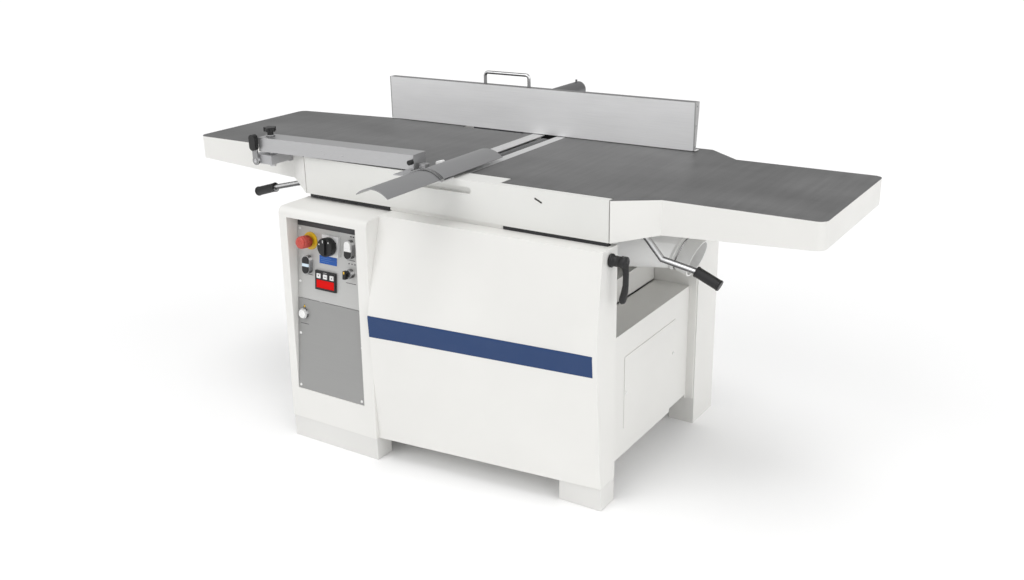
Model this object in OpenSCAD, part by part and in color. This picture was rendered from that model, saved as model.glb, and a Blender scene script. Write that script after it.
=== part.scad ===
// Jointer: two long surfacing tables over a cutterblock, a tilting fence and a cabinet that also
// holds a thicknessing table. X runs along the tables towards the infeed end, Y towards the fence,
// Z is up from the floor. Modules use the middle of the cutterblock as y = 0, and place() then
// moves everything so that the origin is the centre of the whole machine's footprint.

/* [Tables] */
// Length over both tables
table_length = 2200; // [2000:10:2300]
// Height of the table tops above the floor
table_z = 920; // [919:1:921]
// Width of the tables at their narrow outer ends
table_width = 520; // [516:1:520]
// Radius of the outer table corners
table_corner = 25; // [10:1:40]
// Thickness of the cast table plate
table_plate = 18; // [14:1:22]

/* [Cutterblock] */
// Cutting circle diameter
cutter_d = 120; // [118:1:120]
// Middle of the cutterblock along the tables
cutter_x = -12; // [-14:1:-10]
// Cutting width
cutter_length = 516; // [500:1:516]
// Number of knives
knife_count = 4; // [2:1:4]

/* [Cabinet] */
// Half of the cabinet's length along the tables
cabinet_half = 553; // [550:1:556]
// Height of the cabinet's top
cabinet_z = 790; // [790:1:790]
// Height of the cabinet's lower edge above the floor
plinth_z = 75; // [70:1:78]
// Distance of the rear cover from the middle of the cutterblock
cabinet_back = 425; // [420:1:430]
// Sheet thickness of the covers
sheet = 4; // [3:0.5:4]

/* [Control column] */
// Right side of the control column
column_right = -200; // [-205:1:-200]
// Left edge of the recess for the control plates
recess_left = -522; // [-525:1:-515]
// Right edge of the recess for the control plates
recess_right = -243; // [-245:1:-240]
// Lower edge of the recess
recess_low = 180; // [175:1:185]
// Upper edge of the recess
recess_high = 756; // [750:1:760]
// Height of the joint between the two control plates
plate_joint_z = 486; // [480:1:490]

/* [Fence] */
// Length of the fence
fence_length = 1200; // [1100:1:1200]
// Height of the fence plate
fence_h = 151; // [140:1:155]
// Left end of the fence
fence_x = -691; // [-695:1:-600]
// Distance of the fence face from the middle of the cutterblock
fence_y = 296; // [294:1:304]
// Diameter of the round bar that carries the fence
bar_d = 60; // [58:1:60]
// Far end of that bar
bar_end = 815; // [800:1:840]

/* [Guard] */
// Width of the arched guard
guard_w = 112; // [100:1:114]
// Rise of its arch
guard_rise = 22; // [18:1:24]
// Front end of the guard
guard_front = -640; // [-650:1:-600]
// Length of the guard
guard_length = 557; // [540:1:557]
// Turn of the guard arm from the table edge, in degrees
arm_turn = 2.9; // [2.5:0.1:3.5]

/* [Extraction] */
// Outside diameter of the dust outlet
outlet_d = 120; // [120:1:120]
// Length of the straight dust outlet
outlet_length = 60; // [50:1:62]
// Downward slope of the dust outlet, in degrees
outlet_slope = 20; // [18:1:22]

/* [Hidden] */
floor_z = plinth_z + 17;      // underside of the cabinet floor, just above its front edge
$fn = 48;

white = [0.93, 0.93, 0.91];
iron = [0.44, 0.44, 0.44];
steel = [0.72, 0.72, 0.73];
black = [0.1, 0.1, 0.11];
silver = [0.82, 0.82, 0.83];
blue = [0.11, 0.28, 0.5];

run_gap = 0.05;               // radial clearance of every turning or sliding fit
cutter_z = table_z - cutter_d / 2;
narrow = table_width / 2;     // table edge at the narrow ends
wide_front = 312;             // table edge in the middle, front
cover_front = 334;            // face of the front cover
wide_back = 352;              // table edge in the middle, rear
wide_x = 548;                 // where the wide middle starts
narrow_x = 662;               // where the narrow ends start
apron_end = 844;              // lower edge of the tables at their far ends
apron_root = 821;             // the same where the narrow ends start
apron_mid = 801;              // lower edge of the tables in the middle
apron_wall = 14;
lip_out = -82;                // outer edge of the outfeed lip
lip_in = 45;                  // outer edge of the infeed lip
throat = 264;                 // half width between the cabinet's inner walls
shelf_z = 490;
shelf_in = 402;               // inner edge of the side shelves
inset = 525;                  // face of the inset side panels
fold_z = 490;                 // height of the front panel's fold
centre_y = (bar_end + guard_front) / 2;

module place() { translate([0, -centre_y, 0]) children(); }

// Bar or plate between x0 and x1 whose outline is drawn in Y and Z
module along_x(x0, x1) { translate([x0, 0, 0]) rotate([90, 0, 90]) linear_extrude(x1 - x0) children(); }
// Bar between y0 and y1 whose outline is drawn in X and Z
module along_y(y0, y1) { translate([0, y1, 0]) rotate([90, 0, 0]) linear_extrude(y1 - y0) children(); }
// Block between two corners
module block(a, b) { translate(a) cube(b - a); }
// Round rods along each axis
module rod_x(x0, x1, y, z, r) { translate([x0, y, z]) rotate([0, 90, 0]) cylinder(r = r, h = x1 - x0); }
module rod_y(y0, y1, x, z, r) { translate([x, y0, z]) rotate([-90, 0, 0]) cylinder(r = r, h = y1 - y0); }
module rod_z(z0, z1, x, y, r) { translate([x, y, z0]) cylinder(r = r, h = z1 - z0); }
// Puts children at one point with Z pointing at another
module aim(a, b) {
    d = b - a;
    translate(a) rotate([0, acos(d.z / norm(d)), atan2(d.y, d.x)]) children();
}
// Round rod from one point to another
module rod(a, b, r) { aim(a, b) cylinder(r = r, h = norm(b - a)); }
// The same with a rounded far end
module grip(a, b, r) {
    length = norm(b - a);
    aim(a, b) rotate([0, 0, 40]) rotate_extrude() {
        square([r, length]);
        translate([0, length]) intersection() {
            circle(r = r);
            square([r, r]);
        }
    }
}

// Closed skin between two outlines of Y and Z that have the same number of points
module loft_x(x0, outline0, x1, outline1) {
    n = len(outline0);
    points = concat([for (p = outline0) [x0, p.x, p.y]], [for (p = outline1) [x1, p.x, p.y]]);
    ends = [[for (i = [0:n - 1]) n - 1 - i], [for (i = [0:n - 1]) n + i]];
    sides = [for (i = [0:n - 1]) each [[i, (i + 1) % n, n + i], [(i + 1) % n, n + (i + 1) % n, n + i]]];
    polyhedron(points, concat(ends, sides));
}

// ---- Cabinet ----
front_left_line = [[-460, plinth_z], [-478, fold_z], [-455, 580], [-392, cabinet_z]];
front_right_line = [[-385, plinth_z], [-415, fold_z], [-411, 580], [-384, cabinet_z]];
// Outline of the space in front of y = -300 that the front sheet wraps, reduced by a margin
function panel_outline(line, t) = [line[0] + [t, t], line[1] + [t, 0], line[2] + [t, 0],
    line[3] + [t, -t],
    [t - 300, cabinet_z - t], [t - 300, plinth_z + t]];

module front_panel() color(white) {
    difference() {
        loft_x(column_right, panel_outline(front_left_line, 0), cabinet_half,
            panel_outline(front_right_line, 0));
        loft_x(column_right - 1, panel_outline(front_left_line, sheet), cabinet_half - sheet,
            panel_outline(front_right_line, sheet));
    }
}

anchor_r = 7;
foot_plate = 8;
module foot_box(x0, x1, y0, y1, hole) {
    difference() {
        block([x0, y0, 0], [x1, y1, plinth_z]);
        block([x0 + 6, y0 + 6, foot_plate], [x1 - 6, y1 + 1, plinth_z - 6]);
        rod_z(-1, foot_plate + 1, hole.x, hole.y, anchor_r);
    }
}
module front_feet() color(white) {
    foot_box(412, cabinet_half, -380, -300, [482, -335]);
    foot_box(-cabinet_half, column_right, -472, -401, [-376, -432]);
}

column_x = 465;               // inner face of the rear columns
module rear_column(side) {
    x0 = side > 0 ? column_x : -cabinet_half;
    x1 = side > 0 ? cabinet_half : -column_x;
    difference() {
        block([x0, 270, 0], [x1, cabinet_back, cabinet_z]);
        block([x0 + sheet, 270 + sheet, foot_plate], [x1 - sheet, cabinet_back - sheet, cabinet_z - 8]);
        rod_z(-1, foot_plate + 1, (x0 + x1) / 2, 345, anchor_r);
    }
}
module rear_columns() {
    color(white) rear_column(1);
    color(white) rear_column(-1);
    color(steel) hinge_brackets();
}

module base_frame() color(white) {
    shaft_hole = [-230, 230];
    difference() {
        union() {
            block([sheet - inset, -300, floor_z], [inset - sheet, 270, floor_z + 5]);
            block([-column_x, 270, floor_z], [column_x, 421, floor_z + 5]);
            block([-549, -300, plinth_z], [549, -294, cabinet_z - sheet]);
            block([-549, throat, floor_z], [549, 270, cabinet_z]);
            for (side = [-1, 1]) block([side * 410 - 3, -294, floor_z], [side * 410 + 3, throat,
                shelf_z - 4.2]);
            block([-column_x, 270, cabinet_z - 6], [column_x, 421, cabinet_z]);
        }
        rod_y(throat - 1, 272, shaft_hole.x, shaft_hole.y, 30);
        block([-200, 290, cabinet_z - 7], [60, 400, cabinet_z + 1]);
        block([inset - 40, 136, floor_z - 1], [inset + 1, throat - 8, floor_z + 6]);
    }
}

// Right or left inset panel with the shelf that bends in from its top
module side_sheet(side) {
    mirror([side > 0 ? 0 : 1, 0, 0]) {
        block([inset - sheet, -294, floor_z], [inset, throat, shelf_z]);
        block([shelf_in, -294, shelf_z - sheet], [inset, throat, shelf_z]);
    }
}
cover_y = [-191, 159];
cover_z = [178, 410];
screw_spots = [[-180, 292], [148, 297]];
module side_panels() color(white) {
    side_sheet(-1);
    difference() {
        side_sheet(1);
        block([inset - sheet - 1, cover_y[0] + 12, cover_z[0] + 12], [inset + 1, cover_y[1] - 12,
            cover_z[1] - 12]);
        block([inset - sheet - 1, 136, floor_z - 1], [inset + 1, throat - 8, floor_z + 12]);
    }
}
module access_cover() color(white) {
    block([inset, cover_y[0], cover_z[0]], [inset + 2, cover_y[1], cover_z[1]]);
}
module rear_cover() color(white) {
    difference() {
        block([-column_x, 421, plinth_z], [column_x, cabinet_back, cabinet_z]);
        for (row = [0:5]) {
            z = 180 + row * 22;
            block([-330, 420, z], [-150, cabinet_back + 1, z + 8]);
        }
        rod_y(420, cabinet_back + 1, 330, 140, 12);
    }
}

// ---- Control column ----
column_lean = 17 / 773;
function column_y(z) = -474 + z * column_lean;
panel_tilt = 6.3;             // how far the control plates lean back
panel_point = [-471, recess_low];
function panel_y(z) = panel_point.x + (z - panel_point.y) * tan(panel_tilt);
// Puts children on the control plate's face: X right, Y up the plate, Z out towards the user
module on_panel(x, z) { translate([x, panel_y(z), z]) rotate([90 - panel_tilt, 0, 0]) children(); }

module column_outline(inner) {
    t = inner ? sheet : 0;
    low = plinth_z + t;
    top = cabinet_z - 4 - t;
    round = 20 - t;
    edge = column_y(top - round) + t;
    difference() {
        polygon([[column_y(0) + t, low], [column_y(top) + t, top], [-312, top], [-312, low]]);
        difference() {
            translate([edge - 1, top - round]) square([round + 1, round + 1]);
            translate([edge + round, top - round]) circle(r = round);
        }
    }
}
module control_column() color(white) {
    x0 = -cabinet_half;
    x1 = column_right;
    difference() {
        along_x(x0, x1) column_outline(false);
        difference() {
            along_x(x0 + sheet, x1 - sheet) column_outline(true);
            block([recess_left - 3, -480, recess_low - 3], [recess_right + 3, -380, recess_high + 3]);
        }
        block([x0 + sheet, -340, plinth_z + sheet], [x1 - sheet, -300, cabinet_z - 60]);
        block([recess_left, -480, recess_low], [recess_right, -380 - 6, recess_high]);
        block([recess_left + 12, -390, recess_low + 12], [recess_right - 12, -370, recess_high - 12]);
    }
}
plate_gap = 1.2;
module upper_control_plate() color([0.75, 0.75, 0.75]) {
    up = (733 - plate_joint_z) / cos(panel_tilt);
    difference() {
        on_panel(recess_left + plate_gap, plate_joint_z) translate([0, 0, -3])
            cube([recess_right - recess_left - 2 * plate_gap, up, 3]);
        on_panel(stop_at.x, stop_at.y) translate([0, 0, -4]) cylinder(r = 11, h = 5);
        for (p = buttons_at) on_panel(p.x, p.y) translate([0, 0, -4]) linear_extrude(5) stadium(25, 55);
    }
}
module lower_control_plate() color([0.6, 0.6, 0.6]) {
    up = (plate_joint_z - recess_low) / cos(panel_tilt) - 1.5;
    difference() {
        on_panel(recess_left + plate_gap, recess_low + 1) translate([0, 0, -3])
            cube([recess_right - recess_left - 2 * plate_gap, up - 1, 3]);
        on_panel(reset_at.x, reset_at.y) translate([0, 0, -4]) cylinder(r = 13.5, h = 5);
    }
}
module panel_screws() color(steel) {
    for (s = screw_spots) rod_x(inset + 2, inset + 4.5, s.x, s.y, 5);
    for (z = [192, 368, 540, 711]) for (x = [recess_left + 11, recess_right - 11])
        on_panel(x, z) cylinder(r1 = 4.5, r2 = 3.5, h = 2, $fn = 24);
}

stop_at = [-465, 677];
switch_at = [-378, 673];
buttons_at = [[-473, 600], [-300, 674]];
selector_at = [-300, 598];
display_at = [-400, 557];
reset_at = [-494, 436];
bezel_h = 16;
// Stadium outline centred on the origin, long way up
module stadium(w, h) {
    square([w, h - w], center = true);
    for (s = [-1, 1]) translate([0, s * (h - w) / 2]) circle(r = w / 2);
}
module panel_fittings() {
    color([0.95, 0.78, 0.1]) on_panel(stop_at.x, stop_at.y) difference() {
        cylinder(r = 28, h = 4);
        translate([0, 0, -1]) cylinder(r = 11, h = 6);
    }
    color(silver) on_panel(switch_at.x, switch_at.y) difference() {
        translate([-33, -33, 0]) cube([66, 66, 9]);
        translate([0, 0, -1]) cylinder(r = 9, h = 11);
    }
    color(silver) for (p = buttons_at) on_panel(p.x, p.y) linear_extrude(bezel_h) difference() {
        stadium(30, 60);
        stadium(25, 55);
    }
    color(silver) on_panel(selector_at.x, selector_at.y) difference() {
        cylinder(r = 15, h = bezel_h);
        translate([0, 0, -1]) cylinder(r = 9, h = bezel_h + 2);
    }
    color(silver) on_panel(reset_at.x, reset_at.y) difference() {
        cylinder(r = 17, h = 7);
        translate([0, 0, -1]) cylinder(r = 13.5, h = 9);
    }
    color(blue) on_panel(-393, 624) translate([-36, -13, 0]) cube([72, 26, 0.8]);
    color([0.9, 0.9, 0.95]) for (p = buttons_at) on_panel(p.x, p.y) translate([-13, -5, 0]) cube([26,
        10, bezel_h + 3]);
}
display_w = 84;
display_h = 62;
key_xs = [-27, 0, 27];
module display_unit() {
    color(black) on_panel(display_at.x, display_at.y) difference() {
        translate([-display_w / 2, -display_h / 2, 0]) cube([display_w, display_h, 7]);
        translate([-36, -24, 5]) cube([72, 26, 3]);
        for (x = key_xs) translate([x - 8.5, 6.5, 2]) cube([17, 16, 6]);
    }
    color([0.8, 0.05, 0.05]) on_panel(display_at.x, display_at.y) translate([-35.5, -23.5,
        5]) cube([71, 25, 1]);
}

// ---- Cutter head and thicknessing parts ----
head_x = [-208, 202];
roller_x = [cutter_x - 95, cutter_x + 95];
roller_z = 824;
finger_x = cutter_x + 150;
finger_z = 856;
bearing_r = 31;
cutter_shaft_r = 15;
roller_shaft_r = 10;
head_top = table_z - 25.5;
head_in = 268;
head_out = 300;
module head_outline() {
    polygon([[head_x[0], cabinet_z], [head_x[1], cabinet_z], [head_x[1], 868], [cutter_x + 40, head_top],
        [cutter_x - 40, head_top], [head_x[0], 868]]);
}
module head_castings() color(white) {
    difference() {
        union() {
            for (s = [-1, 1]) along_y(min(s * head_in, s * head_out), max(s * head_in,
                s * head_out)) head_outline();
            block([head_x[0], -330, cabinet_z], [head_x[1], -head_out, cabinet_z + 10.7]);
            block([head_x[0], head_in, cabinet_z], [head_x[1], 330, cabinet_z + 8]);
        }
        for (s = [-1, 1]) rod_y(s * 284 - 20, s * 284 + 20, cutter_x, cutter_z, bearing_r);
        for (s = [-1, 1]) for (x = roller_x) rod_y(s * 284 - 20, s * 284 + 20, x, roller_z,
            roller_shaft_r + run_gap);
        for (s = [-1, 1]) rod_y(s * 284 - 20, s * 284 + 20, finger_x, finger_z, 6 + run_gap);
        block([-170, 303, cabinet_z - 1], [60, 335, cabinet_z + 9]);
    }
}
module cutter_bearings() color(steel) {
    for (s = [-1, 1]) difference() {
        rod_y(s * 284 - 16, s * 284 + 16, cutter_x, cutter_z, bearing_r);
        rod_y(s * 284 - 17, s * 284 + 17, cutter_x, cutter_z, cutter_shaft_r + run_gap);
    }
}
pulley_y = [330, 366];
module cutterblock() color(steel) {
    difference() {
        rod_y(-cutter_length / 2, cutter_length / 2, cutter_x, cutter_z, cutter_d / 2 - 1.5);
        knife_places() block([-9, -300, 44], [3.01, 300, 70]);
    }
    rod_y(-300, pulley_y[1], cutter_x, cutter_z, cutter_shaft_r);
    difference() {
        rod_y(pulley_y[0], pulley_y[1], cutter_x, cutter_z, 46);
        for (g = [0:2]) translate([cutter_x, pulley_y[0] + 8 + g * 10, cutter_z]) rotate([-90, 0,
            0]) difference() {
            translate([0, 0, -2.5]) cylinder(r = 60, h = 5);
            translate([0, 0, -3]) cylinder(r = 42, h = 6);
        }
    }
}
// Puts children at every knife, with Z pointing out of the block
module knife_places() {
    for (i = [0:knife_count - 1]) translate([cutter_x, 0, cutter_z]) rotate([0,
        45 + i * 360 / knife_count, 0]) children();
}
module knives() color([0.85, 0.85, 0.86]) {
    half = cutter_length / 2;
    knife_places() {
        block([0, -half, 44.01], [3, half, cutter_d / 2 - 0.05]);
        block([-8.9, -half, 44.01], [-0.05, half, cutter_d / 2 - 3]);
    }
}
motor_at = [-230, 230];
motor_y = [-60, 250];
module main_motor() color([0.25, 0.3, 0.35]) {
    difference() {
        union() {
            rod_y(motor_y[0], motor_y[1], motor_at.x, motor_at.y, 88);
            for (i = [0:35]) translate([motor_at.x, 0, motor_at.y]) rotate([0, i * 10, 0])
                block([-1.5, motor_y[0] + 40, 84], [1.5, motor_y[1] - 40, 98]);
            block([motor_at.x - 110, motor_y[0] + 60, floor_z + 5], [motor_at.x + 110,
                motor_y[1] - 60, floor_z + 15]);
            block([motor_at.x - 70, motor_y[0] + 60, floor_z + 10], [motor_at.x + 70,
                motor_y[1] - 60, 170]);
            block([motor_at.x + 60, 20, motor_at.y - 40], [motor_at.x + 125, 120, motor_at.y + 40]);
        }
        rod_y(motor_y[0] + 10, motor_y[1] + 1, motor_at.x, motor_at.y, 14 + run_gap);
    }
}
motor_pulley_r = 70;
module motor_rotor() color(steel) {
    rod_y(motor_y[0] + 20, pulley_y[1], motor_at.x, motor_at.y, 14);
    difference() {
        rod_y(pulley_y[0], pulley_y[1], motor_at.x, motor_at.y, motor_pulley_r);
        for (g = [0:2]) translate([motor_at.x, pulley_y[0] + 8 + g * 10, motor_at.y]) rotate([-90, 0,
            0]) difference() {
            translate([0, 0, -2.5]) cylinder(r = 80, h = 5);
            translate([0, 0, -3]) cylinder(r = motor_pulley_r - 4, h = 6);
        }
    }
}
module belt_loop(extra) {
    hull() {
        translate([cutter_x, cutter_z]) circle(r = 46.4 + extra, $fn = 40);
        translate([motor_at.x, motor_at.y]) circle(r = motor_pulley_r + 0.4 + extra, $fn = 40);
    }
}
module drive_belt() color(black) {
    along_y(pulley_y[0] + 3, pulley_y[1] - 3) difference() {
        belt_loop(5);
        belt_loop(0);
    }
}
module infeed_roller() color(steel) {
    difference() {
        rod_y(-255, 255, roller_x[1], roller_z, 25);
        for (i = [0:17]) translate([roller_x[1], 0, roller_z]) rotate([0, i * 20, 0]) block([-1.5,
            -256, 23], [1.5, 256, 30]);
    }
    rod_y(-300, 300, roller_x[1], roller_z, roller_shaft_r);
}
module outfeed_roller() color(black) {
    rod_y(-255, 255, roller_x[0], roller_z, 25);
    rod_y(-300, 300, roller_x[0], roller_z, roller_shaft_r);
}
module kickback_fingers() color(steel) {
    rod_y(-300, 300, finger_x, finger_z, 6);
    for (i = [-12:12]) difference() {
        along_y(i * 20 - 7, i * 20 + 7) polygon([[finger_x - 11, finger_z + 8], [finger_x + 11,
            finger_z + 8],
            [finger_x + 6, 800], [finger_x - 6, 806]]);
        rod_y(i * 20 - 8, i * 20 + 8, finger_x, finger_z, 5.9);
    }
}

thick_top = 570;
thick_half = 400;
module thicknessing_table() {
    color(iron) block([-thick_half, -260, thick_top - 16], [thick_half, 260, thick_top]);
    color(white) difference() {
        block([-thick_half, -260, shelf_z + 5], [thick_half, 260, thick_top - 16]);
        for (s = [-1, 1]) for (t = [-1, 1]) block([min(s * 60, s * 388), min(t * 20, t * 248),
            shelf_z + 4],
            [max(s * 60, s * 388), max(t * 20, t * 248), thick_top - 16]);
    }
    color(steel) difference() {
        rod_z(140, shelf_z + 8, 0, 0, 50);
        rod_z(139, 480, 0, 0, 22);
    }
}
module lift_guide_tube() color(steel) {
    difference() {
        union() {
            rod_z(floor_z + 5, 400, 0, 0, 64);
            rod_z(floor_z + 5, floor_z + 17, 0, 0, 95);
        }
        rod_z(floor_z + 17, 401, 0, 0, 50 + run_gap);
        rod_z(floor_z + 4, floor_z + 18, 0, 0, 14 + run_gap);
    }
}
module lift_screw() color(silver) {
    rod_z(floor_z + 6, 470, 0, 0, 14);
    rod_z(floor_z + 18, floor_z + 30, 0, 0, 30);
}

hood_x = [-92, 62, 470, 556];
outlet_from = [560, 100, 664];
module hood_shape(t) {
    hull() {
        block([hood_x[0] + t, -252 + t, 702 + t], [hood_x[1] - t, 252 - t, 786 + (t > 0 ? 5 : 0)]);
        block([hood_x[1] + 120, -244 + t, 668 + t], [hood_x[1] + 160, 252 - t, 784 - t]);
    }
    hull() {
        block([hood_x[1] + 120, -244 + t, 668 + t], [hood_x[1] + 160, 252 - t, 784 - t]);
        translate(outlet_from) rotate([0, 90 + outlet_slope, 0]) translate([0, 0, -22])
            cylinder(r = outlet_d / 2 + 4 - t, h = 22 + (t > 0 ? 3 : 0), $fn = 32);
    }
}
module chip_hood() color(white) {
    difference() {
        hood_shape(0);
        hood_shape(3);
    }
    translate(outlet_from) rotate([0, 90 + outlet_slope, 0]) difference() {
        union() {
            cylinder(r = outlet_d / 2, h = outlet_length);
            translate([0, 0, -3]) cylinder(r = outlet_d / 2 + 5.5, h = 9);
        }
        translate([0, 0, -4]) cylinder(r = outlet_d / 2 - 4, h = outlet_length + 5);
    }
}

// ---- Table unit ----
beam_x = 505;
beam_half = 20;
hinge_at = [395, 815];        // y and z of the hinge line behind the tables
hinge_r = 10;
beam_z = [805, 845];
module hinge_brackets() {
    for (s = [-1, 1]) {
        x = s * beam_x;
        for (e = [-1, 1]) along_x(x + e * 32 - 8, x + e * 32 + 8) {
            translate([hinge_at.x - 22, cabinet_z]) square([44, hinge_at.y - cabinet_z]);
            translate(hinge_at) circle(r = 22);
        }
        rod_x(x - 40, x + 40, hinge_at.x, hinge_at.y, hinge_r);
    }
}
lever_pivot = [[580, -240, 836], [-575, -240, 826]];
module table_carrier() color([0.55, 0.56, 0.58]) {
    difference() {
        union() {
            for (s = [-1, 1]) {
                block([s * beam_x - beam_half, -329, beam_z[0]], [s * beam_x + beam_half, hinge_at.x,
                    beam_z[1]]);
                rod_x(s * beam_x - beam_half, s * beam_x + beam_half, hinge_at.x, hinge_at.y, 20);
            }
            block([-535, -329, beam_z[0] + 1], [535, -317, beam_z[1] - 5]);
            block([beam_x, -228, 816], [lever_pivot[0].x + 12, -216, 846]);
            block([lever_pivot[1].x - 12, -228, 814], [-beam_x, -216, 844]);
        }
        for (s = [-1, 1]) rod_x(s * beam_x - 30, s * beam_x + 30, hinge_at.x, hinge_at.y,
            hinge_r + run_gap);
        for (s = [-1, 1]) block([s * beam_x - 30, hinge_at.x - 30, beam_z[1] - 10], [s * beam_x + 30,
            hinge_at.x + 30, beam_z[1] + 1]);
    }
    for (p = lever_pivot) rod_y(-250, -220, p.x, p.z, 8);
}

cover_x = 543;
tab_x = [-212, 188];
module front_cover() color([0.9, 0.9, 0.88]) {
    difference() {
        union() {
            block([-cover_x, -cover_front, apron_mid], [cover_x, -wide_front - 3, table_z]);
            block([tab_x[0], -wide_front - 3, table_z - 8], [tab_x[1], -narrow - 2, table_z]);
        }
        difference() {
            block([-cover_x + 3, -cover_front + 3, apron_mid - 1], [cover_x - 3, -wide_front + 5,
                table_z - 3]);
            block([-95, -cover_front, 872], [105, -wide_front - 6, table_z]);
            block([tab_x[0], -wide_front - 3, table_z - 8], [tab_x[1], -narrow, table_z]);
        }
        along_y(-cover_front - 1, -wide_front - 9) translate([5, 889]) rotate([0, 0, 90]) stadium(20,
            184);
        translate([323, -cover_front - 1, 890]) rotate([0, 25, 0]) translate([-13, 0, -3]) cube([26,
            5, 6]);
    }
}

// Right half of the tables' outline from above; inner is the cut face beside the cutterblock
module table_outline(inner, step_front, step_back, rear, root, t) {
    end = table_length / 2 - t;
    n = narrow - t;
    c = table_corner - min(t, table_corner - 4);
    slant = t * 0.3;
    polygon([[inner + t, -n], [step_front + t, -n], [step_front + t, -wide_front + t],
        [wide_x - 2 - (t > 0 ? 4 : 0), -wide_front + t],
        [wide_x - 2 - (t > 0 ? 4 : 0), -cover_front + (t > 0 ? t + 8 : 0)],
            [wide_x - (t > 0 ? 3 : 0), -cover_front + (t > 0 ? t + 8 : 0)],
        [narrow_x - slant, -n], [end - c, -n], [end - c, n], [narrow_x - slant, root - t],
            [wide_x - slant, wide_back - t], [step_back + t, wide_back - t],
        [step_back + t, rear - t], [inner + t, rear - t]]);
    translate([end - c - 1, -n + c]) square([c + 1, 2 * n - 2 * c]);
    for (s = [-1, 1]) translate([end - c, s * (n - c)]) circle(r = c);
}
module table_casting(inner, cutter_off, step_front, step_back, rear, root) {
    bottom = table_z - table_plate;
    difference() {
        translate([0, 0, apron_mid]) linear_extrude(table_z - apron_mid) table_outline(inner,
            step_front, step_back, rear, root, 0);
        translate([0, 0, apron_mid - 1]) linear_extrude(bottom - apron_mid + 1) table_outline(inner,
            step_front, step_back, rear, root, apron_wall);
        along_y(-400, 400) polygon([[wide_x, apron_mid - 1], [table_length, apron_mid - 1],
            [table_length / 2 + 1, apron_end], [narrow_x, apron_root], [wide_x, apron_mid]]);
        block([inner - 1, -400, apron_mid - 1], [step_front + 18, 400, 877]);
        block([inner - 1, -400, apron_mid - 1], [step_back + 18, -240, 877]);
        block([inner - 1, 240, apron_mid - 1], [step_back + 18, 400, bottom]);
        for (y = [-cover_front, wide_back - 20]) block([beam_x - 45, y - 3, apron_mid - 1],
            [beam_x + 26, y + 40, 858]);
        rod_y(-300, 300, cutter_off, cutter_z, cutter_d / 2 + 5);
    }
    difference() {
        union() {
            for (x = [210:150:1060]) block([x, -narrow + 5, 866], [x + 10, narrow - 5, bottom + 1]);
            block([inner + 10, -6, 881], [1085, 6, bottom + 1]);
        }
        rod_y(-300, 300, cutter_off, cutter_z, cutter_d / 2 + 5);
    }
}
module infeed_table() color(iron) table_casting(lip_in + 0.5, cutter_x, 190, 195, 310, narrow);
module outfeed_table() color(iron) mirror([1, 0, 0]) table_casting(-lip_out + 0.5, -cutter_x, 214,
    365, 285, 306);
module lip(x0, x1) {
    difference() {
        block([x0, -narrow + 0.5, table_z - 15], [x1, head_out, table_z]);
        rod_y(-300, 300, cutter_x, cutter_z, cutter_d / 2 + 2);
    }
}
module infeed_lip() color(silver) lip(12, lip_in + 0.5);
module outfeed_lip() color(silver) lip(-82.5, -37);

lever_r = 9;
grip_r = 15;
// Bent table lever: hub on the pivot, rod through the bend, grip at the end
module table_lever(pivot, points) {
    color(silver) {
        difference() {
            rod_y(pivot.y - 9, pivot.y + 9, pivot.x, pivot.z, 17);
            rod_y(pivot.y - 10, pivot.y + 10, pivot.x, pivot.z, 8 + run_gap);
        }
        difference() {
            union() {
                grip(pivot, points[0], lever_r);
                rod(points[0], points[1], lever_r - 0.3);
            }
            rod_y(pivot.y - 20, pivot.y + 20, pivot.x, pivot.z, 14);
        }
    }
    color(black) rod(points[1], points[2], grip_r);
}
module infeed_lever() table_lever(lever_pivot[0], [[658, -240, 748], [758, -240, 730], [828, -240, 700]]);
module outfeed_lever() table_lever(lever_pivot[1], [[-668, -240, 798], [-775, -240, 771], [-862,
    -240, 745]]);

// ---- Fence ----
bar_x = -195;
bar_z = 985;
bracket_y = [440, 480];
module fence_bracket() color([0.3, 0.31, 0.33]) {
    difference() {
        union() {
            block([-530, wide_back, 866], [-380, wide_back + 14, 912]);
            block([-530, wide_back + 10, 872], [bar_x + 30, wide_back + 44, 906]);
            block([bar_x - 34, wide_back + 10, 872], [bar_x + 34, bracket_y[1], 906]);
            block([bar_x - 30, bracket_y[0], 900], [bar_x + 30, bracket_y[1], bar_z]);
            rod_y(bracket_y[0], bracket_y[1], bar_x, bar_z, 46);
            rod_x(bar_x + 40, bar_x + 56, 460, bar_z, 11);
            rod_x(bar_x + 50, bar_x + 63, 460, bar_z, 4.95);
        }
        rod_y(bracket_y[0] - 1, bracket_y[1] + 1, bar_x, bar_z, bar_d / 2 + run_gap);
    }
}
tilt_at = [fence_y + 20, 930];         // y and z of the fence's tilt pin
module fence_bar() color([0.35, 0.35, 0.37]) {
    rod_y(424, bar_end, bar_x, bar_z, bar_d / 2);
    rod_z(bar_z + 20, bar_z + bar_d / 2 + 9, bar_x, bar_end - 20, 4);
    difference() {
        union() {
            along_x(bar_x - 20, bar_x + 20) polygon([[tilt_at.x + 4, 923.5], [436, 923.5],
                [436, 1008], [421, 1008], [351, 938], [tilt_at.x + 8, 934]]);
            rod_x(bar_x - 20, bar_x + 20, tilt_at.x, tilt_at.y, 7);
            rod_y(421, 436, bar_x, bar_z, 34);
        }
        rod_x(bar_x - 30, bar_x + 30, tilt_at.x, tilt_at.y, 4 + run_gap);
        along_x(bar_x - 60, bar_x + 60) polygon([[380, 974], [440, 1034], [380, 1034]]);
    }
}
fence_low = table_z + 2.5;
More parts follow.
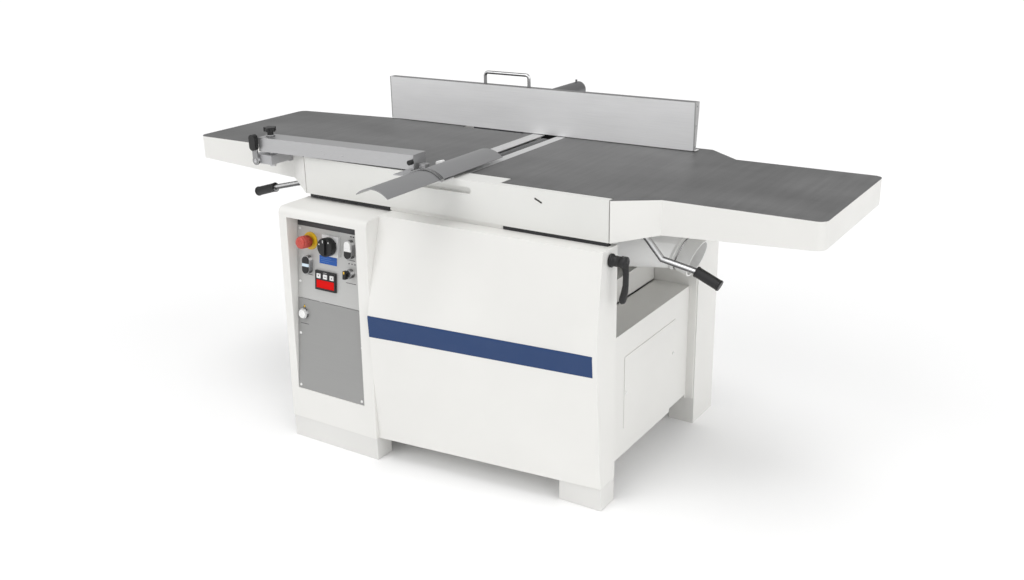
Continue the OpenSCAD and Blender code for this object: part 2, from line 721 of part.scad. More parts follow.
module fence_section(t) {
    polygon([[fence_y + t, fence_low + t], [fence_y + t, fence_low + fence_h - t], [fence_y + 28 - t,
        fence_low + fence_h - t],
        [fence_y + 28 - t, fence_low + fence_h - 22], [fence_y + 17 - t, fence_low + 40],
            [fence_y + 12 - t, fence_low + t]]);
}
module fence_plate() color(silver) {
    difference() {
        along_x(fence_x + 4, fence_x + fence_length - 4) fence_section(0);
        difference() {
            along_x(fence_x, fence_x + fence_length) fence_section(2.5);
            for (z = [970, 1020]) block([fence_x, fence_y - 1, z - 1.2], [fence_x + fence_length,
                fence_y + 40, z + 1.2]);
        }
        block([bar_x - 21, fence_y + 8, fence_low - 1], [bar_x + 21, fence_y + 40, 942]);
    }
    for (s = [-1, 1]) {
        x = bar_x + s * 26;
        along_x(x - 5, x + 5) {
            translate([tilt_at.x - 10, tilt_at.y - 7]) square([10, 14]);
            translate(tilt_at) circle(r = 7);
        }
    }
    rod_x(bar_x - 31, bar_x + 31, tilt_at.x, tilt_at.y, 4);
}
module fence_end_caps() color([0.7, 0.7, 0.71]) {
    for (x = [fence_x, fence_x + fence_length - 4]) along_x(x, x + 4) fence_section(0);
}
handle_x = [-281, -104];
handle_r = 5.8;
module fence_handle() color(silver) {
    y = fence_y + 15;
    low = fence_low + fence_h;
    high = low + 40;
    bend = 12;
    for (x = handle_x) rod_z(low, high - bend, x, y, handle_r);
    for (s = [0, 1]) {
        x = handle_x[s] + (s == 0 ? bend : -bend);
        translate([x, y, high - bend]) rotate([90, 0, 0]) rotate([0, 0, s == 0 ? 90 : 0])
            rotate_extrude(angle = 90) translate([bend, 0]) circle(r = handle_r);
    }
    rod_x(handle_x[0] + bend, handle_x[1] - bend, y, high, handle_r);
}
module fence_lock_lever() color(black) {
    x = bar_x + 56.4;
    difference() {
        rod_x(x, x + 24, 460, bar_z, 15);
        rod_x(x - 1, x + 8, 460, bar_z, 4.95 + run_gap);
    }
    grip([x + 16, 460, bar_z], [x + 24, 545, bar_z - 30], 7);
}

// ---- Guard ----
post_at = [-686.5, -329];
arm_low = 925;
arm_h = 45;
arm_d = 65;
cam_at = [-722, -370, 894];
clamp_at = [-113, 950];
module guard_bracket() color([0.62, 0.63, 0.65]) {
    difference() {
        union() {
            block([-775, -narrow - 14, 880], [post_at.x + 22, -narrow, 914]);
            block([-739, post_at.y - 28, 884], [post_at.x + 22, -narrow - 13, 914]);
        }
        rod_z(860, 920, post_at.x, post_at.y, 10 + run_gap);
    }
    rod_y(cam_at.y - 1, -narrow - 8, cam_at.x, cam_at.z, 7);
}
module guard_arm() color([0.75, 0.76, 0.77]) {
    arm_left = -26;
    arm_right = 577;
    arm_front = -30;
    arm_back = arm_d - 30;
    wall = 4;
    translate([post_at.x, post_at.y, 0]) {
        rod_z(874, arm_low + 1, 0, 0, 10);
        rotate([0, 0, arm_turn]) {
            difference() {
                block([arm_left, arm_front, arm_low], [arm_right, arm_back, arm_low + arm_h]);
                block([arm_left + wall, arm_front + wall, arm_low - 1],
                    [arm_right - wall, arm_back - wall, arm_low + arm_h - wall]);
            }
            block([arm_left + 1, arm_front + 1, arm_low], [22, arm_back - 1, arm_low + arm_h - 3]);
            block([550, arm_front + 1, arm_low], [arm_right - 1, arm_back - 1, arm_low + arm_h - 3]);
            rod_z(arm_low + arm_h, arm_low + arm_h + 12, 0, 0, 6);
        }
    }
    rod_y(-342, -325, clamp_at.x, clamp_at.y, 3);
    guard_holder();
}
arch_r = (pow(guard_w / 2, 2) + pow(guard_rise, 2)) / (2 * guard_rise);
guard_edge_z = 930;
// Part of the arch's section between two radii, cut at a half width
module arch(r_in, r_out, half) {
    intersection() {
        translate([cutter_x, guard_edge_z + guard_rise - arch_r]) difference() {
            circle(r = r_out, $fn = 96);
            circle(r = r_in, $fn = 96);
        }
        translate([cutter_x - half, guard_edge_z]) square([2 * half, 60]);
    }
}
holder_y = [-415, -318];
band_y = [-405, -391];
module guard_holder() {
    half = guard_w / 2 + 3;
    along_y(band_y[0], band_y[1]) arch(arch_r + 1.2, arch_r + 3.6, half);
    block([cutter_x - 40, holder_y[0], 924.5], [cutter_x + 40, holder_y[1], 934]);
    block([-128, holder_y[0] + 12, 924.5], [cutter_x + half + 1, -345, 927.5]);
    block([-128, -346, 924.5], [-110, -324, 927.5]);
    block([-104, -345.5, 924.5], [-76, -288, 928]);
    block([-102, -312, 928], [-80, -290, 942]);
    for (s = [-1, 1]) block([cutter_x + s * (half - 1) - 1.5, band_y[0], 924.5],
        [cutter_x + s * (half - 1) + 1.5, band_y[1], 933]);
}
module guard_profile() color([0.6, 0.6, 0.61]) {
    along_y(guard_front, guard_front + guard_length) {
        arch(arch_r - 2.6, arch_r, guard_w / 2);
        for (s = [-1, 1]) translate([cutter_x + s * (guard_w / 2 - 2.2),
            guard_edge_z + 0.7]) circle(r = 1.6, $fn = 24);
    }
}
module star_knob() color(black) {
    translate([post_at.x, post_at.y, arm_low + arm_h + 1]) difference() {
        union() {
            cylinder(r = 10, h = 18);
            translate([0, 0, 16]) linear_extrude(13) {
                circle(r = 16);
                for (i = [0:4]) rotate(i * 72) translate([15, 0]) circle(r = 6);
            }
        }
        translate([0, 0, -1]) cylinder(r = 6 + run_gap, h = 14);
    }
}
module cam_lever() {
    color(silver) difference() {
        along_y(cam_at.y, cam_at.y + 5) {
            translate([cam_at.x, cam_at.z]) circle(r = 14);
            translate([cam_at.x - 12, cam_at.z]) square([22, 38]);
        }
        rod_y(cam_at.y - 1, cam_at.y + 6, cam_at.x, cam_at.z, 7 + run_gap);
    }
    color(black) along_y(cam_at.y - 9, cam_at.y + 8)
        translate([cam_at.x - 1, cam_at.z + 60]) stadium(26, 52);
}
module guard_clamp_knob() color(black) {
    difference() {
        rod_y(-347, -332.2, clamp_at.x, clamp_at.y, 7.5);
        rod_y(-342.5, -332, clamp_at.x, clamp_at.y, 3 + run_gap);
    }
}
table_clamp_at = [-341, 757];
module table_clamp_lever() color(black) {
    y = table_clamp_at.x;
    z = table_clamp_at.y;
    x = cabinet_half + 0.5;
    rod_x(x, x + 8, y, z, 19);
    rod_x(x + 7, x + 50, y, z, 15);
    grip([x + 40, y, z], [x + 46, y - 2, z - 60], 10);
    grip([x + 46, y - 2, z - 57], [x + 36, y - 4, z - 112], 9);
}

// ---- Controls that move ----
module emergency_stop() color([0.8, 0.12, 0.1]) {
    on_panel(stop_at.x, stop_at.y) {
        translate([0, 0, 0.5]) cylinder(r = 11 - run_gap, h = 12);
        translate([0, 0, 10]) cylinder(r1 = 17, r2 = 19.5, h = 36);
        translate([0, 0, 46]) cylinder(r1 = 19.5, r2 = 16.5, h = 6);
    }
}
module main_switch() color(black) {
    on_panel(switch_at.x, switch_at.y) {
        translate([0, 0, 0.5]) cylinder(r = 9 - run_gap, h = 14);
        translate([0, 0, 10]) cylinder(r1 = 32.5, r2 = 31, h = 26);
        translate([-7, -28, 36]) cube([14, 56, 7]);
    }
}
// One half of a double push-button: side is 1 for the upper and -1 for the lower half
module push_button(at, side) {
    color(side > 0 && at.x > -400 ? white : black)
        on_panel(at.x, at.y) translate([0, 0, 0.4]) linear_extrude(bezel_h + 3.5) intersection() {
            stadium(24.4, 54.4);
            translate([-13, side > 0 ? 5.4 : -27.6]) square([26, 22.2]);
        }
}
module selector_knob() color(black) {
    on_panel(selector_at.x, selector_at.y) {
        translate([0, 0, 0.5]) cylinder(r = 9 - run_gap, h = 24);
        translate([-5, -13, 20]) cube([10, 26, 14]);
    }
}
module display_key(x) color(white) {
    on_panel(display_at.x, display_at.y) translate([x - 8, 7, 3.2]) cube([16, 15, 5]);
}
module reset_button() color(white) {
    on_panel(reset_at.x, reset_at.y) translate([0, 0, 0.4]) cylinder(r = 13.4, h = 13);
}
module table_seals() color(black) {
    block([-531, -332, cabinet_z], [head_x[0] - 1, -316, apron_mid - 0.4]);
    block([head_x[1] + 2, -332, cabinet_z], [540, -316, apron_mid - 0.4]);
}

place() base_frame();
place() rear_columns();
place() front_feet();
place() front_panel();
place() control_column();
place() upper_control_plate();
place() lower_control_plate();
place() panel_screws();
place() side_panels();
place() access_cover();
place() rear_cover();
place() head_castings();
place() table_seals();
place() cutter_bearings();
place() main_motor();
place() drive_belt();
place() lift_guide_tube();
place() chip_hood();
place() panel_fittings();
place() display_unit();
place() cutterblock();
place() knives();
place() motor_rotor();
place() infeed_roller();
place() outfeed_roller();
place() kickback_fingers();
place() thicknessing_table();
place() lift_screw();
place() table_carrier();
place() front_cover();
place() outfeed_table();
place() outfeed_lip();
place() infeed_table();
place() infeed_lip();
place() infeed_lever();
place() outfeed_lever();
place() fence_bracket();
place() fence_bar();
place() fence_plate();
place() fence_end_caps();
place() fence_handle();
place() fence_lock_lever();
place() guard_bracket();
place() guard_arm();
place() guard_profile();
place() star_knob();
place() cam_lever();
place() guard_clamp_knob();
place() table_clamp_lever();
place() emergency_stop();
place() main_switch();
place() selector_knob();
place() reset_button();
place() push_button(buttons_at[0], 1);  // left_upper_button
place() push_button(buttons_at[0], -1);  // left_lower_button
place() push_button(buttons_at[1], 1);  // right_upper_button
place() push_button(buttons_at[1], -1);  // right_lower_button
place() display_key(key_xs[0]);  // left_display_key
place() display_key(key_xs[1]);  // middle_display_key
place() display_key(key_xs[2]);  // right_display_key
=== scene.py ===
"""Looks of the jointer: materials, fine pieces, floor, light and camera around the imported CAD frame."""

import math

import bmesh
import bpy
from mathutils import Matrix, Vector


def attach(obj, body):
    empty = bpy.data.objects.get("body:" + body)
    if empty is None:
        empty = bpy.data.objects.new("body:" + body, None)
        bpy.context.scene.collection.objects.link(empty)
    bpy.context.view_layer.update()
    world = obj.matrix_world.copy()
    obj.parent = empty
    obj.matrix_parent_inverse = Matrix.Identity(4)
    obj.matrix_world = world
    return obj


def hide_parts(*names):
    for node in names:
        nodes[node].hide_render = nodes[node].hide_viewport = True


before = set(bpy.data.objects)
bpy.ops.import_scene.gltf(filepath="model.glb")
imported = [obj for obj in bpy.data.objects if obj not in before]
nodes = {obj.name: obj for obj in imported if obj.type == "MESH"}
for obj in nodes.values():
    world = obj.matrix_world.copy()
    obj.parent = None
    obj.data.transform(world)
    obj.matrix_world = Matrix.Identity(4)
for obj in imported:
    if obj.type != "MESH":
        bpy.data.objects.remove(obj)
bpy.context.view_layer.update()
MM = 0.001
Y_SHIFT = 87.5  # the drawing's Y is this much more than the frame's, in mm


# ---- Materials ----
class Paint:
    """One procedural material. Every texture is laid in the piece's own coordinates."""

    def __init__(self, name, color, roughness=0.5, metallic=0.0, **sockets):
        self.material = bpy.data.materials.new(name)
        self.material.use_nodes = True
        self.tree = self.material.node_tree
        self.shader = self.tree.nodes["Principled BSDF"]
        self.color = color
        self.shader.inputs["Base Color"].default_value = (*color, 1)
        self.shader.inputs["Roughness"].default_value = roughness
        self.shader.inputs["Metallic"].default_value = metallic
        for key, value in sockets.items():
            self.shader.inputs[key.replace("_", " ")].default_value = value
        self.place = self.node("ShaderNodeTexCoord").outputs["Object"]

    def node(self, kind, inputs=None, **settings):
        made = self.tree.nodes.new(kind)
        for key, value in settings.items():
            setattr(made, key, value)
        for key, value in (inputs or {}).items():
            if isinstance(value, bpy.types.NodeSocket):
                self.tree.links.new(value, made.inputs[key])
            else:
                made.inputs[key].default_value = value
        return made

    def noise(self, scale, detail=3.0, stretch=(1, 1, 1)):
        """Noise from 0 to 1. Stretch shrinks the grain along each axis."""
        place = self.node("ShaderNodeMapping", {"Vector": self.place, "Scale": stretch}).outputs[0]
        return self.node("ShaderNodeTexNoise", {"Vector": place, "Scale": scale, "Detail": detail}).outputs[0]

    def blend(self, factor, low, high, start=0.3, end=0.7):
        """Two colours mixed by a factor that runs from start to end."""
        ramp = self.node("ShaderNodeValToRGB", {"Fac": factor})
        ramp.color_ramp.elements[0].position = start
        ramp.color_ramp.elements[1].position = end
        ramp.color_ramp.elements[0].color = (*low, 1)
        ramp.color_ramp.elements[1].color = (*high, 1)
        return ramp.outputs[0]

    def range(self, factor, low, high):
        """A number that follows a factor of about 0.3 to 0.7."""
        made = self.node("ShaderNodeMapRange", {0: factor, 1: 0.3, 2: 0.7, 3: low, 4: high})
        return made.outputs[0]

    def math(self, operation, a, b):
        return self.node("ShaderNodeMath", {0: a, 1: b}, operation=operation).outputs[0]

    def mix(self, factor, a, b):
        made = self.node("ShaderNodeMix", data_type="RGBA")
        for index, value in ((0, factor), (6, a), (7, b)):
            if isinstance(value, bpy.types.NodeSocket):
                self.tree.links.new(value, made.inputs[index])
            elif index == 0:
                made.inputs[index].default_value = value
            else:
                made.inputs[index].default_value = (*value, 1)
        return made.outputs[2]

    def use(self, socket, value):
        self.tree.links.new(value, self.shader.inputs[socket])
        return self

    def bump(self, *layers):
        """Each layer is a height from 0 to 1 and its depth in millimetres."""
        last = None
        for height, depth in layers:
            made = self.node("ShaderNodeBump", {"Height": height, "Distance": depth * MM, "Strength": 1.0})
            if last:
                self.tree.links.new(last, made.inputs["Normal"])
            last = made.outputs[0]
        return self.use("Normal", last)

    def axis(self, name):
        return self.node("ShaderNodeSeparateXYZ", {"Vector": self.place}).outputs[name]


def shade(color, amount):
    return tuple(c * amount for c in color)


def powder_coat(name, color, roughness=0.4):
    """Sprayed enamel: a fine orange-peel skin and faint patches."""
    p = Paint(name, color, roughness, Coat_Weight=0.15, Coat_Roughness=0.25)
    patches = p.noise(3.0, 4)
    p.use("Base Color", p.blend(patches, shade(color, 0.972), shade(color, 1.015)))
    p.use("Roughness", p.range(p.noise(11, 5), roughness - 0.05, roughness + 0.08))
    return p.bump((p.noise(420, 2), 0.05), (p.noise(60, 2), 0.12))


def ground_metal(name, color, roughness, metallic, along, fine=900, depth=0.02, contrast=0.06):
    """Ground or brushed metal with hair lines along one axis, 0 to 2."""
    p = Paint(name, color, roughness, metallic)
    stretch = [1.0, 1.0, 1.0]
    stretch[along] = 0.012
    lines = p.noise(fine, 3, stretch)
    bands = p.noise(26, 3, [0.15 if i == along else 1.0 for i in range(3)])
    mixed = p.math("ADD", p.math("MULTIPLY", lines, 0.6), p.math("MULTIPLY", bands, 0.4))
    p.use("Base Color", p.blend(mixed, shade(color, 1 - contrast), shade(color, 1 + contrast)))
    p.use("Roughness", p.range(mixed, roughness - 0.07, roughness + 0.09))
    return p.bump((lines, depth))


def moulded(name, color, roughness=0.45, grain=0.04):
    """Moulded plastic with a fine spark-eroded grain."""
    p = Paint(name, color, roughness)
    p.use("Base Color", p.blend(p.noise(14, 3), shade(color, 0.9), shade(color, 1.08)))
    p.use("Roughness", p.range(p.noise(45, 3), roughness - 0.06, roughness + 0.08))
    return p.bump((p.noise(1400, 2), grain))


def rubber(name, color):
    p = Paint(name, color, 0.75)
    p.use("Base Color", p.blend(p.noise(30, 4), shade(color, 0.8), shade(color, 1.3)))
    return p.bump((p.noise(700, 3), 0.05))


WHITE = (0.8, 0.794, 0.768)
IRON = (0.184, 0.184, 0.184)
WORKING_FACE_Z = 0.9186  # above this height, in metres, a table is ground iron


def table_paint():
    """White enamel on the sides and ribs, and a ground iron working face on top."""
    p = Paint("table_casting", WHITE, 0.42)
    top = p.math("GREATER_THAN", p.axis("Z"), WORKING_FACE_Z)
    hair = p.noise(700, 3, (0.012, 1, 1))
    cross = p.noise(70, 2, (1, 0.06, 1))
    cloud = p.noise(3.2, 4, (0.7, 1.6, 1))
    mixed = p.math("ADD", p.math("MULTIPLY", hair, 0.2), p.math("MULTIPLY", cloud, 0.55))
    mixed = p.math("ADD", mixed, p.math("MULTIPLY", cross, 0.25))
    iron = p.blend(mixed, shade(IRON, 0.68), shade(IRON, 1.3), 0.36, 0.64)
    enamel = p.blend(p.noise(3, 4), shade(WHITE, 0.975), shade(WHITE, 1.01))
    p.use("Base Color", p.mix(top, enamel, iron))
    p.use("Metallic", p.math("MULTIPLY", top, 0.75))
    enamel_rough = p.range(p.noise(11, 5), 0.36, 0.48)
    iron_rough = p.range(mixed, 0.36, 0.52)
    rough = p.node("ShaderNodeMix", {0: top, 2: enamel_rough, 3: iron_rough})
    p.use("Roughness", rough.outputs[0])
    grain = p.node("ShaderNodeMix", {0: top, 2: p.noise(300, 2), 3: hair}).outputs[0]
    return p.bump((grain, 0.03))


white = powder_coat("white_enamel", WHITE)
# Near-black paint on faces inside the machine: painted shade for its dark interior.
interior_painted_shade = powder_coat("interior_painted_shade", (0.07, 0.07, 0.072), 0.55)
cover_white = powder_coat("cover_enamel", (0.76, 0.76, 0.735), 0.36)
foot_enamel = powder_coat("foot_enamel", (0.74, 0.735, 0.715), 0.45)
shade_white = powder_coat("hood_enamel", (0.86, 0.86, 0.85), 0.45)
plate_light = ground_metal("upper_plate", (0.53, 0.53, 0.52), 0.45, 0.35, 0, 500, 0.01, 0.03)
plate_dark = ground_metal("lower_plate", (0.33, 0.33, 0.325), 0.45, 0.3, 0, 500, 0.01, 0.03)
table_mix = table_paint()
lip_steel = ground_metal("lip_steel", (0.66, 0.66, 0.66), 0.42, 0.6, 1, 900, 0.02, 0.05)
steel = ground_metal("turned_steel", (0.55, 0.55, 0.56), 0.32, 0.95, 1)
dark_steel = ground_metal("bar_steel", (0.2, 0.2, 0.205), 0.38, 0.9, 1, 700, 0.02, 0.1)
block_steel = ground_metal("block_steel", (0.07, 0.07, 0.072), 0.35, 0.7, 1)
knife_steel = ground_metal("knife_steel", (0.74, 0.74, 0.75), 0.18, 1.0, 1)
fence_metal = ground_metal("fence_aluminium", (0.88, 0.88, 0.885), 0.4, 0.25, 0, 800, 0.015, 0.05)
# Dark grey strip on the fence's top edge: painted shade on its top bevel.
fence_top_painted_shade = ground_metal("fence_top_painted_shade", (0.2, 0.2, 0.2), 0.4, 0.5, 0, 800, 0.015, 0.06)
cap_metal = ground_metal("fence_cap", (0.42, 0.42, 0.42), 0.4, 0.5, 2, 800, 0.015, 0.05)
guard_metal = ground_metal("guard_aluminium", (0.34, 0.34, 0.345), 0.36, 0.8, 1, 800, 0.015, 0.04)
arm_metal = ground_metal("arm_aluminium", (0.5, 0.5, 0.505), 0.34, 0.85, 0, 800, 0.015, 0.05)
cast_metal = powder_coat("cast_bracket", (0.42, 0.42, 0.43), 0.5)
switch_plate = ground_metal("switch_plate", (0.8, 0.8, 0.8), 0.4, 0.2, 0, 700, 0.01, 0.03)
bracket_dark = powder_coat("dark_bracket", (0.1, 0.1, 0.11), 0.5)
motor_paint = powder_coat("motor_paint", (0.1, 0.13, 0.17), 0.45)
carrier_paint = powder_coat("carrier_paint", (0.42, 0.43, 0.44), 0.5)
black = moulded("black_plastic", (0.007, 0.007, 0.0075), 0.42)
white_plastic = moulded("white_plastic", (0.83, 0.83, 0.82), 0.3, 0.01)
red = moulded("red_plastic", (0.56, 0.075, 0.055), 0.33, 0.02)
yellow = moulded("yellow_plastic", (0.8, 0.5, 0.02), 0.4, 0.02)
blue_label = moulded("blue_label", (0.01, 0.1, 0.42), 0.5, 0.01)
ink = moulded("dark_print", (0.07, 0.07, 0.075), 0.6, 0.0)
stripe_blue = powder_coat("stripe_vinyl", (0.005, 0.038, 0.14), 0.6)
black_rubber = rubber("black_rubber", (0.025, 0.025, 0.027))


def chrome_painted_reflection():
    """Bright plating with painted reflections: the base colour runs in dark and light bands by the surface's
    slope, standing in for reflected studio cards.
    """
    p = Paint("chrome", (0.5, 0.5, 0.5), 0.16, 0.6)
    normal = p.node("ShaderNodeTexCoord").outputs["Normal"]
    slope = p.node("ShaderNodeSeparateXYZ", {"Vector": normal}).outputs["Z"]
    place = p.node("ShaderNodeMapRange", {0: slope, 1: -1.0, 2: 1.0, 3: 0.0, 4: 1.0}).outputs[0]
    ramp = p.node("ShaderNodeValToRGB", {"Fac": place})
    # painted reflection: bright on faces tipped a little upwards, dark on faces turned down or straight up
    painted_reflection_stops = ((0.0, 0.06), (0.36, 0.1), (0.5, 0.3), (0.6, 0.9), (0.76, 0.9), (0.88, 0.13), (1.0, 0.2))
    for i, (at, tone) in enumerate(painted_reflection_stops):
        stop = ramp.color_ramp.elements[i] if i < 2 else ramp.color_ramp.elements.new(at)
        stop.position = at
        stop.color = (tone, tone, tone * 1.01, 1)
    p.use("Base Color", ramp.outputs[0])
    p.use("Roughness", p.range(p.noise(40, 4), 0.12, 0.2))
    return p.bump((p.noise(240, 3), 0.01))


# A faint emission gives a lens a painted glow.
def lens_paint(name, color, painted_glow):
    p = Paint(name, color, 0.15, Coat_Weight=0.6)
    p.shader.inputs["Emission Color"].default_value = (*color, 1)
    p.shader.inputs["Emission Strength"].default_value = painted_glow
    return p.bump((p.noise(500, 2, (1, 1, 0.1)), 0.01))


chrome = chrome_painted_reflection()
# clear button lenses with a faint painted glow
clear_lens = lens_paint("button_lens", (0.6, 0.72, 0.8), 0.12)
red_window = moulded("red_window", (0.68, 0.002, 0.001), 0.6, 0.0)
red_window.shader.inputs["Specular IOR Level"].default_value = 0.15
label_mark = moulded("label_mark", (0.1, 0.22, 0.5), 0.4, 0.0)

# ---- Carried-over CAD nodes: material, edge rounding in mm ----
CARRIED = {
    "base_frame": (white, 1.0),
    "rear_columns": (white, 2.5),
    "front_feet": (foot_enamel, 2.5),
    "front_panel": (white, 2.5),
    "control_column": (white, 3.0),
    "upper_control_plate": (plate_light, 0.4),
    "lower_control_plate": (plate_dark, 0.4),
    "side_panels": (white, 1.5),
    "access_cover": (white, 0.7),
    "rear_cover": (white, 1.0),
    # head castings near-black: painted shade for the dark throat; their front flange is repainted white below
    "head_castings": (interior_painted_shade, 2.0),
    # rubber strips in the gap under the tables; their black also stands in for the shade of that gap
    "table_seals": (black_rubber, 1.0),
    "cutter_bearings": (steel, 0.8),
    "main_motor": (motor_paint, 1.0),
    "drive_belt": (black_rubber, 0.8),
    "lift_guide_tube": (steel, 1.0),
    "chip_hood": (shade_white, 1.5),
    "panel_fittings": (chrome, 0.6),
    "panel_screws": (white_plastic, 0.3),
    "infeed_lever": (chrome, 0.8),
    "outfeed_lever": (chrome, 0.8),
    "star_knob": (black, 1.5),
    "display_unit": (black, 0.8),
    "cutterblock": (block_steel, 0.5),
    "knives": (knife_steel, 0.2),
    "motor_rotor": (steel, 0.8),
    "infeed_roller": (steel, 0.4),
    "outfeed_roller": (black_rubber, 0.8),
    "kickback_fingers": (steel, 0.6),
    "thicknessing_table": (table_mix, 1.5),
    "lift_screw": (steel, 0.8),
    "table_carrier": (carrier_paint, 1.5),
    "front_cover": (cover_white, 2.5),
    "outfeed_table": (table_mix, 1.2),
    "outfeed_lip": (lip_steel, 0.6),
    "infeed_table": (table_mix, 1.2),
    "infeed_lip": (lip_steel, 0.6),
    "fence_bracket": (bracket_dark, 1.5),
    "fence_bar": (dark_steel, 1.5),
    "fence_plate": (fence_metal, 0.8),
    "fence_end_caps": (cap_metal, 0.5),
    "fence_handle": (chrome, 0.4),
    "fence_lock_lever": (black, 1.0),
    "guard_bracket": (cast_metal, 1.5),
    "guard_arm": (arm_metal, 1.0),
    "guard_profile": (guard_metal, 0.5),
    "cam_lever": (black, 1.2),
    "guard_clamp_knob": (black, 1.5),
    "selector_knob": (black, 1.0),
    "reset_button": (white_plastic, 1.5),
    "left_upper_button": (black, 1.0),
    "left_lower_button": (black, 1.0),
    "right_upper_button": (white_plastic, 1.0),
    "right_lower_button": (black, 1.0),
    "left_display_key": (white_plastic, 1.0),
    "middle_display_key": (white_plastic, 1.0),
    "right_display_key": (white_plastic, 1.0),
}


def soften(piece, width, segments=3):
    """Rounds a piece's edges without touching its mesh."""
    weld = piece.modifiers.new("weld", "WELD")
    weld.merge_threshold = 1e-5
    bevel = piece.modifiers.new("edges", "BEVEL")
    bevel.width = width * MM
    bevel.segments = segments
    bevel.limit_method = "ANGLE"
    bevel.angle_limit = math.radians(32)
    bevel.harden_normals = True
    bevel.miter_outer = "MITER_ARC"


for name, (paint, edge) in CARRIED.items():
    mesh = nodes[name].data
    mesh.materials.clear()
    mesh.materials.append(paint.material)
    mesh.shade_smooth()
    if "custom_normal" in mesh.attributes:
        mesh.attributes.remove(mesh.attributes["custom_normal"])
    soften(nodes[name], edge)


def add_object(name, data):
    """A new object in the scene's own collection."""
    made = bpy.data.objects.new(name, data)
    bpy.context.scene.collection.objects.link(made)
    return made


# ---- Camera ----
SENSOR_WIDTH, LENS, VIEW_LIMIT = 36, 37.94, 200  # mm, mm, m
CAMERA_AT = Vector((1.8316, -2.8751, 1.6798))
CAMERA_TURN, CAMERA_DROP, CAMERA_ROLL = (math.radians(a) for a in (33.114, 20.037, -1.174))


def camera():
    data = bpy.data.cameras.new("camera")
    data.sensor_width = SENSOR_WIDTH
    data.lens = LENS
    data.clip_end = VIEW_LIMIT
    cam = add_object("camera", data)
    side = Vector((math.cos(CAMERA_TURN), math.sin(CAMERA_TURN), 0))
    level = math.cos(CAMERA_DROP)
    ahead = Vector((-math.sin(CAMERA_TURN) * level, math.cos(CAMERA_TURN) * level, -math.sin(CAMERA_DROP)))
    over = side.cross(ahead)
    right = side * math.cos(CAMERA_ROLL) + over * math.sin(CAMERA_ROLL)
    up = over * math.cos(CAMERA_ROLL) - side * math.sin(CAMERA_ROLL)
    turn = Matrix((right, up, -ahead)).transposed().to_4x4()
    cam.matrix_world = Matrix.Translation(CAMERA_AT) @ turn
    bpy.context.scene.camera = cam


camera()


# ---- Light and floor ----
# Strength, spread, azimuth from the front towards the right, and height, all angles in degrees.
SUNS = {
    "overhead": (0.75, 34, 20, 82),
    "key": (0.7, 40, -20, 36),
    "fill": (0.78, 60, 80, 24),
}
SKY_LOW, SKY_HIGH = (0.45, 0.45, 0.45, 1), (0.62, 0.62, 0.62, 1)
FLOOR_REACH = 60  # m


def studio():
    scene = bpy.context.scene
    scene.view_settings.view_transform = "Standard"
    world = bpy.data.worlds.new("studio")
    scene.world = world
    world.use_nodes = True
    tree = world.node_tree
    back = tree.nodes["Background"]
    back.inputs["Strength"].default_value = 1.0
    place = tree.nodes.new("ShaderNodeTexCoord")
    split = tree.nodes.new("ShaderNodeSeparateXYZ")
    tree.links.new(place.outputs["Generated"], split.inputs[0])
    ramp = tree.nodes.new("ShaderNodeValToRGB")
    tree.links.new(split.outputs["Z"], ramp.inputs["Fac"])
    ramp.color_ramp.elements[0].position = 0.02
    ramp.color_ramp.elements[0].color = SKY_LOW
    ramp.color_ramp.elements[1].position = 0.45
    ramp.color_ramp.elements[1].color = SKY_HIGH
    path = tree.nodes.new("ShaderNodeLightPath")
    pick = tree.nodes.new("ShaderNodeMix")
    pick.data_type = "RGBA"
    tree.links.new(path.outputs["Is Camera Ray"], pick.inputs[0])
    tree.links.new(ramp.outputs[0], pick.inputs[6])
    pick.inputs[7].default_value = (1, 1, 1, 1)
    tree.links.new(pick.outputs[2], back.inputs["Color"])

    def sun(name, strength, spread, azimuth, height):
        data = bpy.data.lights.new(name, "SUN")
        data.energy = strength
        data.angle = math.radians(spread)
        lamp = add_object(name, data)
        a, h = math.radians(azimuth), math.radians(height)
        toward = Vector((math.sin(a) * math.cos(h), -math.cos(a) * math.cos(h), math.sin(h)))
        lamp.rotation_mode = "QUATERNION"
        lamp.rotation_quaternion = toward.to_track_quat("Z", "Y")

    for name, values in SUNS.items():
        sun(name, *values)

    bm = bmesh.new()
    bmesh.ops.create_grid(bm, x_segments=2, y_segments=2, size=FLOOR_REACH)
    floor_mesh = bpy.data.meshes.new("floor")
    bm.to_mesh(floor_mesh)
    bm.free()
    floor = add_object("floor", floor_mesh)
    paper = Paint("floor_paper", (0.98, 0.98, 0.98), 0.9)
    paper.shader.inputs["Specular IOR Level"].default_value = 0.0
    tones = (0.975, 0.975, 0.975), (0.985, 0.985, 0.985)
    paper.use("Base Color", paper.blend(paper.noise(0.4, 2), *tones))
    floor_mesh.materials.append(paper.material)


studio()

# ---- Fine pieces, in the drawing's millimetres ----
def spot(x, y, z):
    return Vector((x, y - Y_SHIFT, z)) * MM


def facing(x, y, z, out, up=(0, 0, 1)):
    """Placement with Z along out and Y as near to up as it can be."""
    out, up = Vector(out).normalized(), Vector(up)
    side = up.cross(out)
    side = side.normalized() if side.length > 1e-4 else out.orthogonal().normalized()
    turn = Matrix((side, out.cross(side), out)).transposed().to_4x4()
    return Matrix.Translation(spot(x, y, z)) @ turn @ Matrix.Scale(MM, 4)


TILT = math.radians(6.3)  # lean of the front panel and the control plates
PLATE_FOOT_Y, PLATE_FOOT_Z = -471, 180


def plate_y(z):
    """Y of the control plates' face at a height."""
    return PLATE_FOOT_Y + (z - PLATE_FOOT_Z) * math.tan(TILT)


def on_panel(x, z):
    """Placement on the control plates: X right, Y up the plate, Z out."""
    return facing(x, plate_y(z), z, (0, -math.cos(TILT), math.sin(TILT)))


